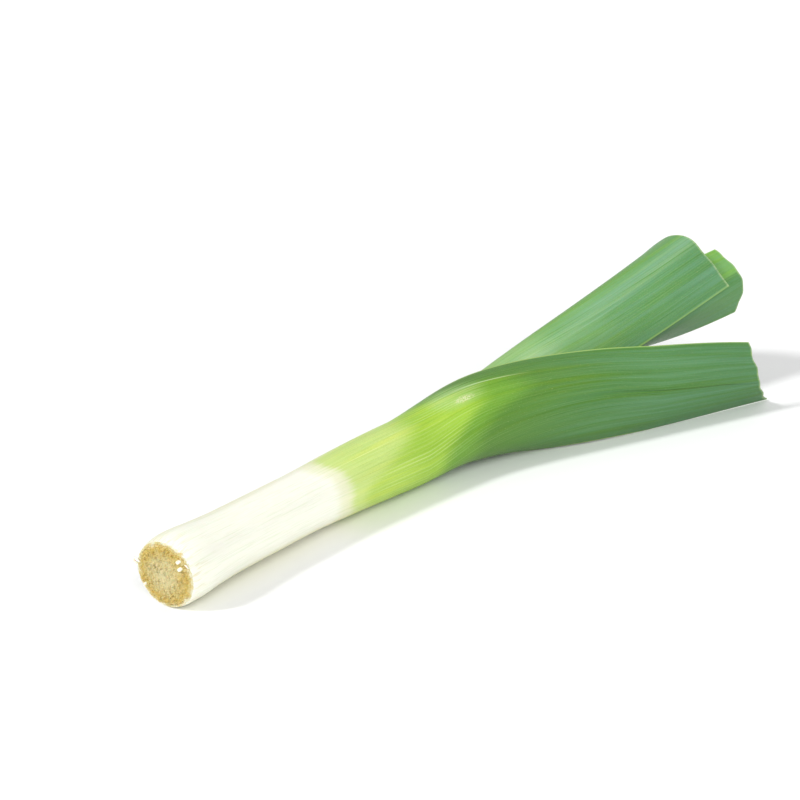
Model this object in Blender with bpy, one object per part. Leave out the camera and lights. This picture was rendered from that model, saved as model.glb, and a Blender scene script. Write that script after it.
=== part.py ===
"""A trimmed leek lying on a flat surface, in metres, +Z up, with its roots at -X and its cut leaves at +X.

It is a root plate with its trimmed roots, and six leaves. Each leaf is one piece: a closed sheath that
wraps the younger leaves, and a keeled blade that opens out of it on alternate sides of the shaft.
"""

import dataclasses
import math
import random

import bmesh
import bpy
import numpy as np
from mathutils import Matrix, Vector

MM = 0.001

# Driving dimensions, in millimetres. A list of pairs gives a distance along the leek from its cut
# root face, and the value there.
SHAFT_RADIUS = [(0, 17.5), (1.5, 18.1), (4, 18.6), (12, 19.0), (30, 17.9), (50, 17.2), (105, 17.1),
                (150, 18.5), (180, 19.5), (200, 20.0)]
ROOT_HEIGHT = 18.0
SHEATH_WALL = [(0, 0.6), (3, 1.4), (10, 2.15)]
LAYER = 2.8
MOST_WALL = 0.6
BLADE_WALL = 1.3
BLADE_THINS = [(0, 0), (0.35, 1), (1, 1)]
MARGIN_THINNING = 0.3
RAGGED_FROM = 0.7
CREASE = 0.16

# The leek's own weight presses it this far flat where it touches the surface.
FLAT_DEPTH = 0.25

# The root plate: the radius and distance of each ring of its cut face, rim and inner cone.
PLATE_FACE = [(0, -1.6), (6, -1.35), (11.5, -0.7), (15.9, 0)]
PLATE_RIM = [(16.5, 0.6), (16.3, 2.0)]
PLATE_CONE = [(15.2, 3.0), (1.0, 10.5)]
PLATE_TIP = 10.8
PLATE_SIDES = 40
CLEARANCE = 0.35

# The line down the leek's middle: degrees turned towards +Y, and degrees climbed.
HEADING = [(0, 3), (40, 1.7), (90, 1.5), (150, -0.6), (200, -3.6), (470, -7)]
CLIMB = [(0, 3.5), (30, 0.3), (90, 0.2), (200, 0.6), (235, 7), (275, 11.5), (470, 12)]

# Where the leaves have rings of points, the same for all so that none cuts a corner into the next.
# Past the last of these each blade has a few of its own, and near the roots the outer leaf has more.
OUTER_BASE = 0.4
OUTER_RINGS = [1.5, 4, 8, 12, 20, 30, 50, 78]
INNER_RINGS = [20, 50]
SHARED_RINGS = [105, 128, 150, 165, 180, 190, 200, 211, 222, 233, 244, 253, 262, 276, 290]

# The trimmed roots on the plate's face.
ROOT_COUNT = 76
ROOT_RADIUS = (0.65, 1.15)
ROOT_TAPER = 0.75
ROOT_STANDS_OUT = (0.7, 2.2)
ROOT_SUNK = 2.0
ROOT_LEAN = 14
ROOT_GAP = 0.15
ROOT_REACH = 15.2
ROOT_TRIES = 60
ROOT_SIDES = 5
ROOT_SEED = 7

ROOT_COLOUR = (0.62, 0.47, 0.24)
ROOT_ROUGHNESS = 0.85
LEAF_ROUGHNESS = 0.45
SHARP_ANGLE = 40


@dataclasses.dataclass
class Leaf:
    """One leaf. Lists from heading to keel run over its blade, from 0 at the mouth to 1 at the cut end.

    heading and climb are degrees that the blade bends away from the leek's middle line, facing is
    where its keel points, from 0 at -Y round to 90 at the top, and turn is how far each half curls.
    """

    name: str
    layer: int
    mouth: float
    cut: float
    heading: list
    climb: list
    facing: list
    half_width: list
    turn: list
    keel: list
    cut_slope: float
    cut_bulge: float
    across: int
    blade_rings: int
    seed: int
    colour: tuple


LEAVES = [
    Leaf("leaf_1_outer", layer=0, mouth=200, cut=451,
         heading=[(0, 0), (0.1, -5), (0.2, -12.6), (0.35, -17.0), (1, -14.6)],
         climb=[(0, 0), (0.06, 2), (0.14, 0), (0.3, -8), (0.5, -13.5), (1, -13.2)],
         facing=[(0, -24), (0.25, 5), (0.5, 14), (0.75, 0), (1, -16)],
         half_width=[(0.12, 53), (0.25, 44.5), (0.45, 36), (0.7, 29.8), (1, 25.6)],
         turn=[(0, 180), (0.12, 138), (0.25, 98), (0.45, 67), (0.7, 46), (1, 33)],
         keel=[(0, 0), (0.3, 0.1), (1, 0.3)],
         cut_slope=14.0, cut_bulge=-5.0, across=15, blade_rings=11, seed=3,
         colour=(0.20, 0.36, 0.13)),
    Leaf("leaf_2", layer=1, mouth=222, cut=462,
         heading=[(0, 0), (0.15, 0.8), (0.4, -1.2), (0.65, -2.4), (1, -1.4)],
         climb=[(0, 0), (0.3, 3.0), (0.6, 4.0), (1, 4.3)],
         facing=[(0, 150), (0.3, 120), (0.6, 94), (1, 80)],
         half_width=[(0.15, 48), (0.35, 45), (0.6, 43.5), (1, 44)],
         turn=[(0, 180), (0.15, 140), (0.35, 100), (0.6, 74), (1, 54)],
         keel=[(0, 0), (0.3, 0.2), (0.6, 0.55), (1, 0.85)],
         cut_slope=7.0, cut_bulge=1.0, across=12, blade_rings=11, seed=5,
         colour=(0.26, 0.44, 0.20)),
    Leaf("leaf_3", layer=2, mouth=244, cut=487,
         heading=[(0, 0), (0.1, -0.3), (0.35, -6.2), (1, -3.6)],
         climb=[(0, 0), (0.1, -0.1), (0.35, -3), (1, -2.9)],
         facing=[(0, -25), (0.4, -16), (1, 14)],
         half_width=[(0.07, 41.5), (0.15, 36), (0.35, 34), (0.6, 33.4), (1, 25)],
         turn=[(0, 180), (0.15, 140), (0.35, 104), (0.6, 74), (1, 38)],
         keel=[(0, 0), (0.3, 0.2), (0.6, 0.5), (1, 0.7)],
         cut_slope=2.0, cut_bulge=4.0, across=10, blade_rings=11, seed=8,
         colour=(0.28, 0.50, 0.14)),
    Leaf("leaf_4", layer=3, mouth=262, cut=448,
         heading=[(0, 0), (0.2, 0.3), (1, -1)],
         climb=[(0, 0), (0.2, 0), (0.5, 1.2), (1, 1)],
         facing=[(0, 150), (0.4, 135), (1, 110)],
         half_width=[(0.07, 33.7), (0.15, 29.7), (0.35, 27.0), (0.6, 25.7), (1, 24)],
         turn=[(0, 180), (0.15, 145), (0.35, 110), (0.6, 90), (1, 74)],
         keel=[(0, 0), (0.3, 0.2), (1, 0.5)],
         cut_slope=1.0, cut_bulge=3.0, across=8, blade_rings=8, seed=9,
         colour=(0.34, 0.55, 0.16)),
    Leaf("leaf_5", layer=4, mouth=276, cut=430,
         heading=[(0, 0), (0.2, 0), (1, -1.5)],
         climb=[(0, 0), (0.2, 0), (1, -0.5)],
         facing=[(0, -25), (1, -30)],
         half_width=[(0.1, 25.5), (0.2, 23.2), (0.5, 20), (1, 16.5)],
         turn=[(0, 180), (0.2, 150), (0.5, 125), (1, 100)],
         keel=[(0, 0), (0.3, 0.2), (1, 0.5)],
         cut_slope=0.0, cut_bulge=2.0, across=6, blade_rings=6, seed=10,
         colour=(0.42, 0.60, 0.20)),
    Leaf("leaf_6_heart", layer=5, mouth=290, cut=385,
         heading=[(0, 0), (0.3, 0), (1, -1)],
         climb=[(0, 0), (0.3, 0), (1, -0.4)],
         facing=[(0, 150), (1, 150)],
         half_width=[(0.3, 15.6), (1, 10.5)],
         turn=[(0, 180), (0.3, 150), (1, 110)],
         keel=[(0, 0), (1, 0.3)],
         cut_slope=0.0, cut_bulge=1.0, across=5, blade_rings=5, seed=11,
         colour=(0.50, 0.64, 0.26)),
]


def eased(pairs, at):
    """A smooth curve through the pairs that never swings past them, read at one place or many."""
    x = np.array([pair[0] for pair in pairs], float)
    y = np.array([pair[1] for pair in pairs], float)
    step = np.diff(x)
    rise = np.diff(y) / step
    slope = np.concatenate([rise[:1], np.zeros(len(x) - 2), rise[-1:]])
    for i in range(1, len(x) - 1):
        if rise[i - 1] * rise[i] > 0:
            before = 2 * step[i] + step[i - 1]
            after = step[i] + 2 * step[i - 1]
            slope[i] = (before + after) / (before / rise[i - 1] + after / rise[i])
    at = np.clip(np.asarray(at, float), x[0], x[-1])
    i = np.clip(np.searchsorted(x, at, side="right") - 1, 0, len(step) - 1)
    t = (at - x[i]) / step[i]
    start = (2 * t**3 - 3 * t**2 + 1) * y[i] + (t**3 - 2 * t**2 + t) * step[i] * slope[i]
    end = (3 * t**2 - 2 * t**3) * y[i + 1] + (t**3 - t**2) * step[i] * slope[i + 1]
    return start + end


class Run:
    """The line that a leaf's sheath is centred on, and its blade runs beside, read at any distance."""

    def __init__(self, leaf):
        self.at = np.arange(0.0, leaf.cut + 1.0)
        blade = (self.at - leaf.mouth) / (leaf.cut - leaf.mouth)
        turned = np.radians(eased(HEADING, self.at) + eased(leaf.heading, blade))
        climbed = np.radians(eased(CLIMB, self.at) + eased(leaf.climb, blade))
        along = [np.cos(climbed) * np.cos(turned), np.cos(climbed) * np.sin(turned), np.sin(climbed)]
        self.along = np.stack(along, axis=1)
        steps = (self.along[1:] + self.along[:-1]) / 2
        self.points = np.vstack([[0, 0, 0], np.cumsum(steps, axis=0)]) + [0, 0, ROOT_HEIGHT]

    def point(self, at):
        inside = np.clip(at, 0, self.at[-1])
        middle = np.array([np.interp(inside, self.at, self.points[:, k]) for k in range(3)])
        return middle + (at - inside) * self.direction(at)

    def direction(self, at):
        return np.array([np.interp(at, self.at, self.along[:, k]) for k in range(3)])


def section(half_width, turn, keel, across):
    """A leaf cut across: how far each point lies to the side and inward of the keel, and how it faces."""
    fine = np.linspace(0, 1, 241)
    middle = (fine[1:] + fine[:-1]) / 2

    def facing(part):
        crease = (1 - np.exp(-part / CREASE)) / (1 - math.exp(-1 / CREASE))
        return math.radians(turn) * ((1 - keel) * part + keel * crease)

    step = half_width / (len(fine) - 1)
    side = np.concatenate([[0], np.cumsum(np.cos(facing(middle)) * step)])
    inward = np.concatenate([[0], np.cumsum(np.sin(facing(middle)) * step)])
    part = np.linspace(0, 1, across + 1)
    side = np.interp(part, fine, side)
    inward = np.interp(part, fine, inward)
    angle = facing(part)
    return (
        np.concatenate([-side[:0:-1], side]),
        np.concatenate([inward[:0:-1], inward]),
        np.concatenate([-angle[:0:-1], angle]),
        np.concatenate([-part[:0:-1], part]),
    )


def ragged(part, leaf):
    """How far the knife's cut runs past the blade's end, across the blade."""
    draw = random.Random(leaf.seed)
    line = leaf.cut_slope * part - leaf.cut_bulge * part**2
    for waves in (5, 9, 14):
        line = line + draw.uniform(0.25, 0.5) * np.sin(waves * part + draw.uniform(0, 6.3))
    return line


def sheath_radius(leaf, at):
    """The outer radius of a leaf's sheath: each leaf's is one layer less than the leaf's round it."""
    return float(eased(SHAFT_RADIUS, at)) - leaf.layer * LAYER


def sheath_start(leaf):
    """Where a leaf begins: the outer one at the cut face, the others on the plate's inner cone."""
    if leaf.layer == 0:
        return OUTER_BASE
    (widest, start), (narrowest, end) = PLATE_CONE
    inner_radius = sheath_radius(leaf, start) - SHEATH_WALL[-1][1]
    return start + (end - start) * (widest - inner_radius) / (widest - narrowest) + CLEARANCE


def leaf_ring(leaf, run, at):
    """The outer and inner points of one ring across a leaf."""
    blade = max(0.0, (at - leaf.mouth) / (leaf.cut - leaf.mouth))
    radius = sheath_radius(leaf, min(at, leaf.mouth))
    half_width = float(eased([(0, math.pi * radius)] + leaf.half_width, blade))
    turn = float(eased(leaf.turn, blade))
    side, inward, angle, part = section(half_width, turn, float(eased(leaf.keel, blade)), leaf.across)
    sheath_wall = min(float(eased(SHEATH_WALL, at)), MOST_WALL * radius)
    thin = float(eased(BLADE_THINS, blade))
    wall = (sheath_wall + (BLADE_WALL - sheath_wall) * thin) * (1 - MARGIN_THINNING * thin * part**4)
    overrun = ragged(part, leaf) * max(0.0, (blade - RAGGED_FROM) / (1 - RAGGED_FROM)) ** 2

    along = run.direction(at)
    right = np.cross(along, [0, 0, 1])
    right /= np.linalg.norm(right)
    up = np.cross(right, along)
    turned = math.radians(float(eased(leaf.facing, blade)))
    keel = math.cos(turned) * right + math.sin(turned) * up
    across = np.cross(along, keel)
    middle = np.array([run.point(at + past) for past in overrun])
    outer = middle + (radius - inward)[:, None] * keel + side[:, None] * across
    outward = np.cos(angle)[:, None] * keel + np.sin(angle)[:, None] * across
    return outer, outer - wall[:, None] * outward


def leaf_points(leaf):
    """The leaf's outer and inner points in millimetres, ring by ring, and the ring that is its mouth."""
    run = Run(leaf)
    rings = [sheath_start(leaf)] + (OUTER_RINGS if leaf.layer == 0 else INNER_RINGS) + SHARED_RINGS
    rings += list(np.linspace(SHARED_RINGS[-1], leaf.cut, leaf.blade_rings + 1)[1:])
    points = np.array([leaf_ring(leaf, run, at) for at in rings])
    lowest = points[:, :, :, 2].min(axis=(1, 2), keepdims=True)
    points[:, :, :, 2] += np.maximum(0, -lowest - FLAT_DEPTH)
    points[:, :, :, 2] = np.maximum(points[:, :, :, 2], 0)
    return points[:, 0], points[:, 1], rings.index(leaf.mouth)


def leaf_object(leaf):
    """One closed solid: a tube up to the mouth ring, an open blade past it."""
    outer, inner, mouth = leaf_points(leaf)
    rings, width = outer.shape[:2]
    mesh = bmesh.new()
    corners = []
    for points in (outer, inner):
        rows = []
        for i, ring in enumerate(points):
            closed = i <= mouth
            row = [mesh.verts.new(Vector(point) * MM) for point in (ring[:-1] if closed else ring)]
            rows.append(row + row[:1] if closed else row)
        corners.append(rows)
    out, within = corners

    def quad(a, b, c, d):
        mesh.faces.new((a, b, c))
        mesh.faces.new((a, c, d))

    for i in range(rings - 1):
        for j in range(width - 1):
            for row in (out, within):
                quad(row[i][j], row[i + 1][j], row[i + 1][j + 1], row[i][j + 1])
        if i >= mouth:
            quad(within[i][0], within[i + 1][0], out[i + 1][0], out[i][0])
            quad(out[i][-1], out[i + 1][-1], within[i + 1][-1], within[i][-1])
    for j in range(width - 1):
        quad(within[0][j], out[0][j], out[0][j + 1], within[0][j + 1])
        quad(out[-1][j], within[-1][j], within[-1][j + 1], out[-1][j + 1])
    bmesh.ops.recalc_face_normals(mesh, faces=mesh.faces)
    return object_from(mesh, leaf.name, material(leaf.name, leaf.colour, LEAF_ROUGHNESS))


def object_from(mesh, name, finish):
    data = bpy.data.meshes.new(name)
    mesh.to_mesh(data)
    mesh.free()
    data.shade_smooth()
    data.set_sharp_from_angle(angle=math.radians(SHARP_ANGLE))
    data.materials.append(finish)
    made = bpy.data.objects.new(name, data)
    bpy.context.scene.collection.objects.link(made)
    return made


def material(name, colour, roughness):
    made = bpy.data.materials.new(name)
    made.use_nodes = True
    shader = made.node_tree.nodes["Principled BSDF"]
    shader.inputs["Base Color"].default_value = (*colour, 1.0)
    shader.inputs["Roughness"].default_value = roughness
    shader.inputs["Metallic"].default_value = 0.0
    return made


def turned_profile(profile, sides):
    """A solid turned round +X from pairs of radius and distance along the axis, both ends on the axis."""
    mesh = bmesh.new()
    angles = [2 * math.pi * k / sides for k in range(sides)]
    rows = []
    for radius, at in profile:
        if radius == 0:
            rows.append([mesh.verts.new((at * MM, 0, 0))] * sides)
        else:
            circle = [(at, radius * math.cos(a), radius * math.sin(a)) for a in angles]
            rows.append([mesh.verts.new(Vector(point) * MM) for point in circle])
    for before, after in zip(rows, rows[1:]):
        for k in range(sides):
            loop = [before[k], before[(k + 1) % sides], after[(k + 1) % sides], after[k]]
            mesh.faces.new(list(dict.fromkeys(loop)))
    bmesh.ops.recalc_face_normals(mesh, faces=mesh.faces)
    return mesh


def root_spots(draw):
    """Where the roots stand on the plate's face, none touching another, and how thick each is."""
    spots = []
    for _ in range(ROOT_COUNT):
        radius = draw.uniform(*ROOT_RADIUS)
        for _ in range(ROOT_TRIES):
            out = ROOT_REACH * math.sqrt(draw.uniform(0.03, 1))
            angle = draw.uniform(0, 2 * math.pi)
            spot = Vector((out * math.cos(angle), out * math.sin(angle)))
            if all((spot - other).length > radius + size + ROOT_GAP for other, size in spots):
                spots.append((spot, radius))
                break
    return spots


def root_mesh(draw, spot, radius):
    """One trimmed root: a short cone sunk in the plate, leaning a little."""
    face = float(np.interp(spot.length, *zip(*PLATE_FACE)))
    stands_out = draw.uniform(*ROOT_STANDS_OUT)
    mesh = bmesh.new()
    bmesh.ops.create_cone(mesh, cap_ends=True, cap_tris=True, segments=ROOT_SIDES,
                          radius1=radius * MM, radius2=radius * ROOT_TAPER * MM,
                          depth=(stands_out + ROOT_SUNK) * MM)
    sideways = Matrix.Rotation(math.radians(draw.uniform(-ROOT_LEAN, ROOT_LEAN)), 4, "X")
    outwards = Matrix.Rotation(math.radians(-90 + draw.uniform(-ROOT_LEAN, ROOT_LEAN)), 4, "Y")
    centre = Vector((face + (ROOT_SUNK - stands_out) / 2, spot.x, spot.y)) * MM
    bmesh.ops.transform(mesh, matrix=Matrix.Translation(centre) @ sideways @ outwards, verts=mesh.verts)
    data = bpy.data.meshes.new("root")
    mesh.to_mesh(data)
    mesh.free()
    return data


def root_plate():
    """The stem's short disc under the leaves, with the trimmed roots standing out of its cut face."""
    mesh = turned_profile(PLATE_FACE + PLATE_RIM + PLATE_CONE + [(0, PLATE_TIP)], PLATE_SIDES)
    plate = object_from(mesh, "root_plate", material("root_plate", ROOT_COLOUR, ROOT_ROUGHNESS))
    draw = random.Random(ROOT_SEED)
    roots = bpy.data.collections.new("roots")
    for number, (spot, radius) in enumerate(root_spots(draw)):
        roots.objects.link(bpy.data.objects.new(f"root_{number}", root_mesh(draw, spot, radius)))
    join = plate.modifiers.new("roots", "BOOLEAN")
    join.operation = "UNION"
    join.operand_type = "COLLECTION"
    join.collection = roots
    join.solver = "EXACT"
    graph = bpy.context.evaluated_depsgraph_get()
    applied = bpy.data.meshes.new_from_object(plate.evaluated_get(graph))
    plate.modifiers.clear()
    plate.data = applied
    for root in list(roots.objects):
        bpy.data.objects.remove(root)
    bpy.data.collections.remove(roots)
    heading = Matrix.Rotation(math.radians(HEADING[0][1]), 4, "Z")
    climb = Matrix.Rotation(math.radians(-CLIMB[0][1]), 4, "Y")
    applied.transform(Matrix.Translation((0, 0, ROOT_HEIGHT * MM)) @ heading @ climb)
    return plate


def centre_on_floor(objects):
    """Moves every piece alike, so that the middle of their box stands at X = Y = 0."""
    corners = np.array([vertex.co for made in objects for vertex in made.data.vertices])
    middle = (corners.min(axis=0) + corners.max(axis=0)) / 2
    for made in objects:
        made.data.transform(Matrix.Translation((-middle[0], -middle[1], 0)))


def main():
    for old in list(bpy.data.objects):
        bpy.data.objects.remove(old, do_unlink=True)
    made = [root_plate()] + [leaf_object(leaf) for leaf in LEAVES]
    centre_on_floor(made)


main()
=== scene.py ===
# %% Load the frame
import dataclasses
import math
import random

import bpy
import numpy as np
from mathutils import Matrix, Vector


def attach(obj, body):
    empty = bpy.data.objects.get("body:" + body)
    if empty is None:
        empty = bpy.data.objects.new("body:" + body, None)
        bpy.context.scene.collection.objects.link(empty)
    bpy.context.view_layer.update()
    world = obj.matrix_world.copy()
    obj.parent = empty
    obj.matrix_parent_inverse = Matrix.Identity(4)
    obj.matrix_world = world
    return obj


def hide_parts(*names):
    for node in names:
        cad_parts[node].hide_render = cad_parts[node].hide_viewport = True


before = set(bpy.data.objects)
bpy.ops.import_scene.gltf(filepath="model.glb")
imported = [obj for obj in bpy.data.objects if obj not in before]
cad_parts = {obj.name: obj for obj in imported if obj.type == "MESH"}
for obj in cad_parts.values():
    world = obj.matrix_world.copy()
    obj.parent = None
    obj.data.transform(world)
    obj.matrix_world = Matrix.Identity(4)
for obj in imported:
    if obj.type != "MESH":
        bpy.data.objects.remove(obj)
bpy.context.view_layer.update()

MM = 0.001
print("the frame holds", sorted(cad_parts))

# %% [markdown]
# # A trimmed leek on a white table
#
# The packed model gives the leek's form and place: a root plate and six leaves, all in metres. It has
# few faces and one plain colour for each piece. This scene makes every piece again with the relief,
# edges and finish of the real plant, in the same place, and lights it like a catalogue picture.

# %% [markdown]
# ## The camera
#
# A catalogue picture of food is taken from some way off with a long lens, which keeps a long leek from
# growing towards the lens. The camera stands a little over a metre from the roots, 20 degrees above the
# table, and looks along the leek at a slant, so the roots come out large and low and the leaves high.

# %% Set up the camera
CAMERA_PLACE = Vector((-1.0419, -0.7147, 0.5107))
CAMERA_AIM = Vector((0.7505, 0.5655, -0.3430))
LENS_LENGTH = 108
lens = bpy.data.cameras.new("camera")
lens.lens = LENS_LENGTH
lens.sensor_width = 36
lens.clip_end = 20
camera = bpy.data.objects.new("camera", lens)
camera.location = CAMERA_PLACE
camera.rotation_euler = CAMERA_AIM.to_track_quat("-Z", "Y").to_euler()
bpy.context.scene.collection.objects.link(camera)
bpy.context.scene.camera = camera
print("camera at", tuple(round(v, 3) for v in camera.location))

# %% [markdown]
# ## Materials written like formulas
#
# Skin, cork and paper have no single colour. Noise, waves and places on the piece are added, multiplied
# and mixed until they look right. Wiring the nodes by hand is well suited to a few of them. With many it
# is easier to read a formula, so each call of this class adds one node and returns its output.

# %% Add and join nodes
class NodeFormula:
    """A node material that is written like a formula: each call adds a node and returns its output."""

    def __init__(self, name, roughness, **sockets):
        self.material = bpy.data.materials.new(name)
        self.material.use_nodes = True
        self.tree = self.material.node_tree
        self.shader = self.tree.nodes["Principled BSDF"]
        self.shader.inputs["Roughness"].default_value = roughness
        for socket, number in sockets.items():
            self.shader.inputs[socket.replace("_", " ")].default_value = number

    def set(self, socket, given):
        """Joins an output to an input, or puts a plain value there."""
        if isinstance(given, bpy.types.NodeSocket):
            self.tree.links.new(given, socket)
        elif isinstance(given, tuple) and len(given) == 3 and len(socket.default_value) == 4:
            socket.default_value = (*given, 1)
        else:
            socket.default_value = given
        return socket

    def math(self, operation, *given):
        node = self.tree.nodes.new("ShaderNodeMath")
        node.operation = operation
        for socket, number in zip(node.inputs, given):
            self.set(socket, number)
        return node.outputs[0]

    def vector(self, x, y, z):
        node = self.tree.nodes.new("ShaderNodeCombineXYZ")
        for socket, number in zip(node.inputs, (x, y, z)):
            self.set(socket, number)
        return node.outputs[0]

    def between(self, given, low, high):
        """0 below low, 1 above high, and a soft step from one to the other."""
        node = self.tree.nodes.new("ShaderNodeMapRange")
        node.interpolation_type = "SMOOTHSTEP"
        for socket, number in zip(node.inputs, (given, low, high, 0.0, 1.0)):
            self.set(socket, number)
        return node.outputs[0]

    def product(self, *shares):
        """The shares multiplied together."""
        made = shares[0]
        for share in shares[1:]:
            made = self.math("MULTIPLY", made, share)
        return made


print("formula steps", [step for step in vars(NodeFormula) if not step.startswith("_")])

# %% [markdown]
# ## Patterns, colours and relief
#
# A finish needs three more things. A noise gives an uneven pattern, a ramp or a mix turns a number into
# a colour, and a bump shades the surface as if it were rough. Bump moves no points, so it is kept for
# what is finer than the mesh, and whatever shows in the outline is modelled.

# %% Add patterns, colours and relief
class Finish(NodeFormula):
    """A formula with the patterns and colours that a plant's or a paper's finish is made of."""

    def noise(self, vector, scale, detail=2.0, roughness=0.5):
        node = self.tree.nodes.new("ShaderNodeTexNoise")
        self.set(node.inputs["Vector"], vector)
        node.inputs["Scale"].default_value = scale
        node.inputs["Detail"].default_value = detail
        node.inputs["Roughness"].default_value = roughness
        return node.outputs["Fac"]

    def ramp(self, given, stops, top):
        """Colours along a line from 0 to top, with a soft change from one stop to the next."""
        node = self.tree.nodes.new("ShaderNodeValToRGB")
        node.color_ramp.interpolation = "EASE"
        while len(node.color_ramp.elements) < len(stops):
            node.color_ramp.elements.new(1.0)
        for element, (at, colour) in zip(node.color_ramp.elements, stops):
            element.position = at / top
            element.color = (*colour, 1)
        self.set(node.inputs["Fac"], self.math("DIVIDE", given, float(top)))
        return node.outputs["Color"]

    def mix(self, share, first, second, blend="MIX"):
        node = self.tree.nodes.new("ShaderNodeMix")
        node.data_type = "RGBA"
        node.blend_type = blend
        node.clamp_factor = True
        self.set(node.inputs[0], share)
        self.set(node.inputs[6], first)
        self.set(node.inputs[7], second)
        return node.outputs[2]

    def tinted(self, share, colour, tint):
        """The colour, multiplied by the tint as far as the share says."""
        return self.mix(share, colour, self.mix(1.0, colour, tint, "MULTIPLY"))

    def colour(self, given):
        self.set(self.shader.inputs["Base Color"], given)

    def roughness(self, given):
        self.set(self.shader.inputs["Roughness"], given)

    def bump(self, height, distance, strength=1.0):
        """Shades the surface as if the height, times the distance in metres, were really there."""
        node = self.tree.nodes.new("ShaderNodeBump")
        node.inputs["Strength"].default_value = strength
        node.inputs["Distance"].default_value = distance
        self.set(node.inputs["Height"], height)
        self.set(self.shader.inputs["Normal"], node.outputs["Normal"])


print("finish steps", [step for step in vars(Finish) if not step.startswith("_")])

# %% [markdown]
# ## The table and the light
#
# The leek lies on a seamless white surface. A wide plane does for that, because nothing else shows. It
# lies half a millimetre low, so it never flickers through the flats that the leek rests on.
#
# Two lamps light it. One from the left and behind, fairly narrow, throws a pale shadow with a soft edge
# towards the camera's right. One from the camera's side, very wide, keeps the near faces bright. Both
# are sun lamps, which don't weaken with distance, so the table stays as white far off as it is near.

# %% Make the white table
TABLE_SIZE = 60
TABLE_HEIGHT = -0.0005
bpy.ops.object.select_all(action="DESELECT")
bpy.ops.mesh.primitive_plane_add(size=TABLE_SIZE, location=(0, 0, TABLE_HEIGHT))
table = bpy.context.object
table.name = "table"
paper = Finish("white_paper", roughness=0.6)
paper.colour((0.97, 0.972, 0.975))
table.data.materials.append(paper.material)
print("table", tuple(table.dimensions))

# %% Light it softly
SURROUNDINGS = 0.47
world = bpy.data.worlds.new("studio")
world.use_nodes = True
world.node_tree.nodes["Background"].inputs["Color"].default_value = (1, 1, 1, 1)
world.node_tree.nodes["Background"].inputs["Strength"].default_value = SURROUNDINGS
bpy.context.scene.world = world
bpy.context.scene.view_settings.view_transform = "Standard"


def soft_light(name, place, width, strength):
    """Even light over the whole table from one side, as wide in the sky as the degrees given."""
    light = bpy.data.lights.new(name, "SUN")
    light.angle = math.radians(width)
    light.energy = strength
    lamp = bpy.data.objects.new(name, light)
    lamp.location = place
    lamp.rotation_euler = (-Vector(place)).to_track_quat("-Z", "Y").to_euler()
    bpy.context.scene.collection.objects.link(lamp)
    return lamp


soft_light("key_light", (-1.7, 0.85, 1.65), width=9, strength=1.9)
soft_light("front_light", (-0.9, -1.3, 1.1), width=45, strength=1.7)

# %% [markdown]
# ## The leaves' form
#
# A leek's leaf is one piece: a closed tube round the younger leaves, the sheath, which opens into a
# folded blade. The sheaths make the shaft. One list of plain numbers says how each leaf runs: how its
# blade bends away from the leek's middle line, where its fold points, how wide it is and how far its two
# halves curl. They are the same numbers as the packed model's, so the finer leaves stay in its place.

# %% The numbers of the shaft
# Lists give a value by distance from the root face. Lengths are millimetres and bends are degrees.
SHAFT_RADIUS = [(0, 17.5), (1.5, 18.1), (4, 18.6), (12, 19.0), (30, 17.9), (50, 17.2), (105, 17.1),
                (150, 18.5), (180, 19.5), (200, 20.0)]
HEADING = [(0, 3), (40, 1.7), (90, 1.5), (150, -0.6), (200, -3.6), (470, -7)]
CLIMB = [(0, 3.5), (30, 0.3), (90, 0.2), (200, 0.6), (235, 7), (275, 11.5), (470, 12)]
ROOT_HEIGHT = 18.0
ROOT_PLACE = (-237.665, 38.148, 0)
SHEATH_WALL = [(0, 0.6), (3, 1.4), (10, 2.15)]
LAYER = 2.8               # from one sheath's skin to the next
MOST_WALL = 0.6           # the largest part of a sheath's radius that its wall may take
FLAT_DEPTH = 0.25         # how far the leek's own weight presses it flat
OUTER_BASE = 0.4          # where the outer leaf starts
PLATE_CONE = [(15.2, 3.0), (1.0, 10.5)]
CLEARANCE = 0.35          # between the root plate's cone and the leaves that stand on it
print("the shaft is", 2 * min(radius for _, radius in SHAFT_RADIUS), "mm thick at its thinnest")

# %% [markdown]
# ## One list for each leaf
#
# A leaf's blade turns away from the middle line, opens and flattens on its way to the knife's cut. Each
# of these changes is a short list of pairs: how far along the blade, and how much. Such a list is easy
# to compare with the picture and to mend, and the leaves can share one formula.

# %% The numbers of the leaves
BLADE_WALL = 1.3
BLADE_THINS = [(0, 0), (0.35, 1), (1, 1)]
MARGIN_THINNING = 0.3     # how much thinner the margins are than the middle of the blade
RAGGED_FROM = 0.7         # the part of the blade beyond which the rows take the cut's shape
CREASE = 0.16             # how wide the fold at the keel is, as a part of half the blade


@dataclasses.dataclass
class Leaf:
    """One leaf. Lists from heading to keel run over its blade, from 0 at the mouth to 1 at the cut end.

    heading and climb are degrees that the blade bends away from the leek's middle line, facing is
    where its keel points, from 0 at -Y round to 90 at the top, and turn is how far each half curls.
    """

    name: str
    layer: int
    mouth: float
    cut: float
    heading: list
    climb: list
    facing: list
    half_width: list
    turn: list
    keel: list
    cut_slope: float
    cut_bulge: float
    columns: int
    rows: int
    seed: int


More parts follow.
